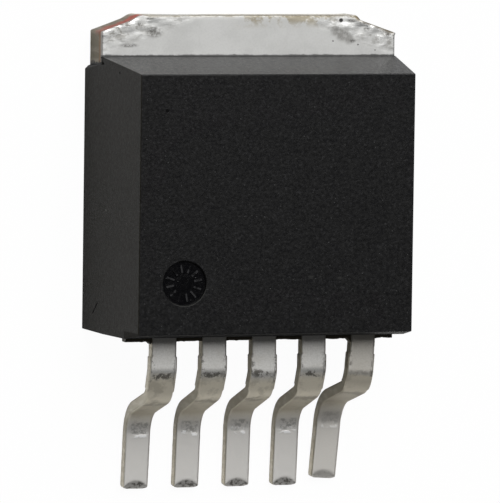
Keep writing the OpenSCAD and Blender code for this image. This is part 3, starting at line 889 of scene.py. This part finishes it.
def lead_path(number):
    """The middle line of a lead, from its inner end to its toe, with the stage of forming."""
    if number == 3:
        rise = [(RISER_FLAT, 0, 0), (0, RISER_ANGLE, RISER_R), (riser_slope(), 0, 0),
                (0, -RISER_ANGLE, RISER_R), (RISER_REST, 0, 0)]
        inner = walk(rise, 0.0, LEAD_MID_Z, 1)
        points = [(Vector((0, y, z)), -1.0) for y, z, _ in reversed(inner[1:])]
    else:
        points = [(Vector((0, POST_IN + POST_LEN, LEAD_MID_Z)), -1.0),
                  (Vector((0, POST_IN, LEAD_MID_Z)), -0.5)]
    turn = Matrix.Rotation(-math.radians(LEAD_BENDS[number].turn), 3, "Z")
    for y, z, stage in walk(lead_steps(number), 0.0, LEAD_MID_Z, -1):
        spot = Vector((0, y + HINGE, z))
        if stage > 1:
            spot = turn @ spot
        points.append((spot - Vector((0, HINGE, 0)), stage))
    at_face = Vector(((number - 3) * LEAD_PITCH, LEAD_FACE_Y, 0))
    return [(spot + at_face, stage) for spot, stage in points]


def formed_lead_tree(material):
    """Sweeps a rounded strip along a lead's path, then shapes its post, tie-bar stubs and toe."""
    sizes = {"Width": LEAD_W, "Thickness": LEAD_T, "Edge Rounding": 0.06, "Section Spacing": 0.035,
             "Post Width": LEAD_W, "Post Length": 0.0, "Face At": 1.75, "Tie Bar From": 0.61,
             "Tie Bar To": 1.76, "Tie Bar Width": 0.03, "Toe Rounding": 0.12, "Toe Roll": 0.34,
             "Toe Drop": 0.12, "Ragged Depth": 0.012}
    others = {"Path": ("Geometry", None), "Seed": ("Float", 0.0)}
    tree, given = begin_tree("formed_lead", sizes, others, "Lead")
    width, rounding = given["Width"], given["Toe Rounding"]
    position = given_by(tree, "GeometryNodeInputPosition")

    def store(geometry, name, value, kind="FLOAT"):
        stored = {"Geometry": geometry, "Name": name, "Value": value}
        return node(tree, "GeometryNodeStoreNamedAttribute", stored, data_type=kind, domain="POINT")

    def named(name, kind="FLOAT"):
        return given_by(tree, "GeometryNodeInputNamedAttribute", {"Name": name}, data_type=kind)

    # The path, cut into even sections
    curve = node(tree, "GeometryNodeMeshToCurve", {0: given["Path"]})
    upright = node(tree, "GeometryNodeSetCurveNormal", {0: curve}, mode="Z_UP")
    even = node(tree, "GeometryNodeResampleCurve",
                {"Curve": upright, "Length": given["Section Spacing"]}, mode="LENGTH")
    run = given_by(tree, "GeometryNodeSplineParameter", output="Length")
    path = store(even, "run", run)
    path = store(path, "left", given_by(tree, "GeometryNodeSplineLength", output="Length") - run)
    for name, source in (("middle", "Position"), ("sideways", "Normal"), ("onward", "Tangent")):
        path = store(path, name, node(tree, "GeometryNodeInput" + source), "FLOAT_VECTOR")

    # The strip's section
    sheet = node(tree, "GeometryNodeCurvePrimitiveQuadrilateral",
                 {"Width": width, "Height": given["Thickness"]})
    sheet = node(tree, "GeometryNodeSubdivideCurve", {0: sheet, "Cuts": 9})
    sheet = node(tree, "GeometryNodeFilletCurve",
                 {"Curve": sheet, "Count": 3, "Radius": given["Edge Rounding"]}, mode="POLY")
    profile = store(sheet, "across", given_by(tree, "ShaderNodeSeparateXYZ", {0: position}))
    swept = node(tree, "GeometryNodeCurveToMesh",
                 {"Curve": path, "Profile Curve": profile, "Fill Caps": True})
    swept = node(tree, "GeometryNodeMergeByDistance", {"Geometry": swept, "Distance": 0.002 * MM})

    # Half the width wanted at each section
    run, left, across = named("run"), named("left"), named("across")
    half = width * 0.5
    from_face = run - given["Face At"]
    post_more = (run < given["Post Length"]) * ((given["Post Width"] - width) * 0.5)
    is_bar = (from_face > given["Tie Bar From"]) * (from_face < given["Tie Bar To"])
    into_toe = highest(0.0, rounding - left)
    chord = rounding * rounding - into_toe * into_toe
    toe_less = rounding - maths("SQRT", highest(chord, 0.0))
    wanted = half + post_more + is_bar * given["Tie Bar Width"] - toe_less
    share = across / half
    outside = from_face > 0.05 * MM

    # Ragged sheared sides
    side = maths("SIGN", across)
    where = node(tree, "ShaderNodeCombineXYZ", {0: run * 5000.0, 1: given["Seed"], 2: side})
    rag = given_by(tree, "ShaderNodeTexNoise", {"Vector": where, "Scale": 1.0, "Detail": 3.0})
    at_side = spread(abs(share), 0.8, 0.97)
    rag = (rag - 0.5) * given["Ragged Depth"] * at_side * outside
    move_side = share * wanted - across + rag * side

    # The toe's top edge rolled down in an arch by the shear
    arch = given["Toe Roll"] * (1.0 - share * share * 0.75)
    into_arch = maths("SUBTRACT", 1.0, left / arch, clamp=True)
    sideways, onward = named("sideways", "FLOAT_VECTOR"), named("onward", "FLOAT_VECTOR")
    either_way = vectors("CROSS_PRODUCT", onward, sideways)
    facing = given_by(tree, "ShaderNodeSeparateXYZ", {0: either_way}, 2)
    upward = vectors("SCALE", either_way, maths("SIGN", facing))
    from_middle = vectors("SUBTRACT", position, named("middle", "FLOAT_VECTOR"))
    on_top = vectors("DOT_PRODUCT", from_middle, upward) > 0.0
    rise = (0.0 - given["Toe Drop"]) * (into_arch * into_arch) * on_top
    shift = vectors("ADD", vectors("SCALE", sideways, move_side), vectors("SCALE", upward, rise))
    lead = node(tree, "GeometryNodeSetPosition", {"Geometry": swept, "Offset": shift})

    # What the finish reads; the attributes used only for the shape are removed
    at_step = spread(abs(from_face - given["Tie Bar From"]), 0.1 * MM, 0.03 * MM)
    lead = store(lead, "toe_arch_dark", into_arch * on_top)
    lead = store(lead, "bar_step", at_step * at_side)
    lead = store(lead, "across_share", share)
    lead = store(lead, "sheared", spread(abs(share), 0.93, 0.985))
    for name in ("run", "left", "across", "middle", "sideways", "onward"):
        lead = node(tree, "GeometryNodeRemoveAttribute", {"Geometry": lead, "Name": name})
    close_tree(tree, node(tree, "GeometryNodeSetShadeSmooth", {0: lead}), material)
    return tree


def formed_lead(number, tree):
    """One lead as a plain mesh, swept by the geometry tree."""
    points = lead_path(number)
    mesh = bpy.data.meshes.new("lead_path")
    mesh.from_pydata([spot * MM for spot, _ in points], [(k, k + 1) for k in range(len(points) - 1)], [])
    stages = mesh.attributes.new("stage", "FLOAT", "POINT")
    stages.data.foreach_set("value", [stage for _, stage in points])
    piece = bpy.data.objects.new(f"formed_lead_{number}", mesh)
    bpy.context.scene.collection.objects.link(piece)
    inner = sum((b - a).length for (a, _), (b, stage) in zip(points, points[1:]) if stage <= 0)
    values = {"Face At": inner * MM, "Seed": number * 3.7}
    if number != 3:
        values.update({"Post Width": POST_W * MM, "Post Length": POST_LEN * MM})
    grow(piece, tree, values)
    piece.data.set_sharp_from_angle(angle=math.radians(50))
    return piece


def joined(name, first, second):
    """Two touching meshes as one object, with both materials kept."""
    bpy.ops.object.select_all(action="DESELECT")
    first.select_set(True)
    second.select_set(True)
    bpy.context.view_layer.objects.active = first
    bpy.ops.object.join()
    first.name = name
    first.data.name = name
    return first


# Build every piece
black = moulding_finish()
tab_tin = tab_finish()
lead_tin = lead_finish()

moulding = mesh_object("moulding", moulding_shell(), black)
cut_or_join(moulding, [mesh_object("flash", flash_bar())], "UNION")
cut_or_join(moulding, [mesh_object("mark", mark_cutter())], "DIFFERENCE")
cut_or_join(moulding, [ring_of_ticks(black)], "UNION")
inner_names = [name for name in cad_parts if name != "moulded_body"]
cut_or_join(moulding, [pocket_tool(name) for name in inner_names], "DIFFERENCE")
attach(moulding, "root")
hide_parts("moulded_body")

lead_tree = formed_lead_tree(lead_tin)
for number in (1, 2, 4, 5):
    lead = formed_lead(number, lead_tree)
    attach(lead, "root")
    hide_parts(f"lead_{number}")
tab = joined("tab_and_middle_lead", mesh_object("tab", heat_tab(), tab_tin), formed_lead(3, lead_tree))
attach(tab, "root")
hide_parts("tab_and_lead_3")

hidden = {
    "silicon_die": silicon_finish(),
    "die_solder": metal_finish("die_solder_tin", srgb(176, 176, 172), srgb(150, 150, 146), 0.4),
}
wire_metal = metal_finish("bond_wire_aluminium", srgb(216, 216, 216), srgb(196, 196, 198), 0.3)
for name, cad_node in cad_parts.items():
    finish = wire_metal if name.startswith("bond_wire") else hidden.get(name)
    if finish:
        cad_node.data.materials.clear()
        cad_node.data.materials.append(finish)


# Floor, light and camera
def floor_finish():
    """A pale floor that shows white to the camera and keeps the part's shadow."""
    material = bpy.data.materials.new("pale_floor")
    material.use_nodes = True
    tree = material.node_tree
    tree.nodes.remove(tree.nodes["Principled BSDF"])
    paper = node(tree, "ShaderNodeBsdfDiffuse", {"Color": (0.8, 0.8, 0.8, 1)})
    glow = node(tree, "ShaderNodeEmission", {"Color": (1, 1, 1, 1), "Strength": 1.0})
    to_camera = given_by(tree, "ShaderNodeLightPath", output="Is Camera Ray")
    mixed = node(tree, "ShaderNodeMixShader", {0: to_camera * 0.97, 1: paper, 2: glow})
    feed(tree, tree.nodes["Material Output"].inputs["Surface"], mixed)
    return material


floor_mesh = bmesh.new()
bmesh.ops.create_grid(floor_mesh, x_segments=8, y_segments=8, size=600)
floor = mesh_object("floor", floor_mesh, floor_finish())
floor.location.z = -0.00001


def soft_lamp(name, place, size, power):
    """A square lamp at a place in metres, turned towards the part."""
    lamp = bpy.data.lights.new(name, "AREA")
    lamp.shape = "SQUARE"
    lamp.size = size
    lamp.energy = power
    holder = bpy.data.objects.new(name, lamp)
    holder.location = place
    holder.rotation_mode = "QUATERNION"
    holder.rotation_quaternion = (-Vector(place)).to_track_quat("-Z", "Y")
    bpy.context.scene.collection.objects.link(holder)


soft_lamp("tab_side", (0.03, 0.24, 0.345), 0.28, 2.3)
soft_lamp("lead_side", (0.0, -0.34, 0.11), 0.26, 0.11)

# A dim sky that shows white to the camera
world = bpy.data.worlds.new("studio")
bpy.context.scene.world = world
world.use_nodes = True
sky = world.node_tree
seen = given_by(sky, "ShaderNodeLightPath", output="Is Camera Ray")
background = sky.nodes["Background"].inputs
feed(sky, background["Strength"], spread(seen, 0.0, 1.0, 0.06, 1.0, smooth=False))
feed(sky, background["Color"], (1, 1, 1, 1))


def photo_camera():
    """A long lens over the left of the part, at the photograph's angle."""
    place = Vector((-63.941, 16.852, 196.982)) * MM
    look = Vector((0.31003208, -0.08122758, -0.9472498)).normalized()
    right = look.cross(Vector((0, 1, 0))).normalized()
    up = right.cross(look)
    roll = math.radians(0.783)
    across = right * math.cos(roll) + up * math.sin(roll)
    upward = up * math.cos(roll) - right * math.sin(roll)
    camera = bpy.data.cameras.new("camera")
    camera.lens = 451.15
    camera.sensor_width = 36
    camera.clip_start = 0.01
    camera.clip_end = 5
    holder = bpy.data.objects.new("camera", camera)
    turned = Matrix((across, upward, -look)).transposed().to_4x4()
    holder.matrix_world = Matrix.Translation(place) @ turned
    bpy.context.scene.collection.objects.link(holder)
    bpy.context.scene.camera = holder


photo_camera()
bpy.context.scene.view_settings.view_transform = "Standard"
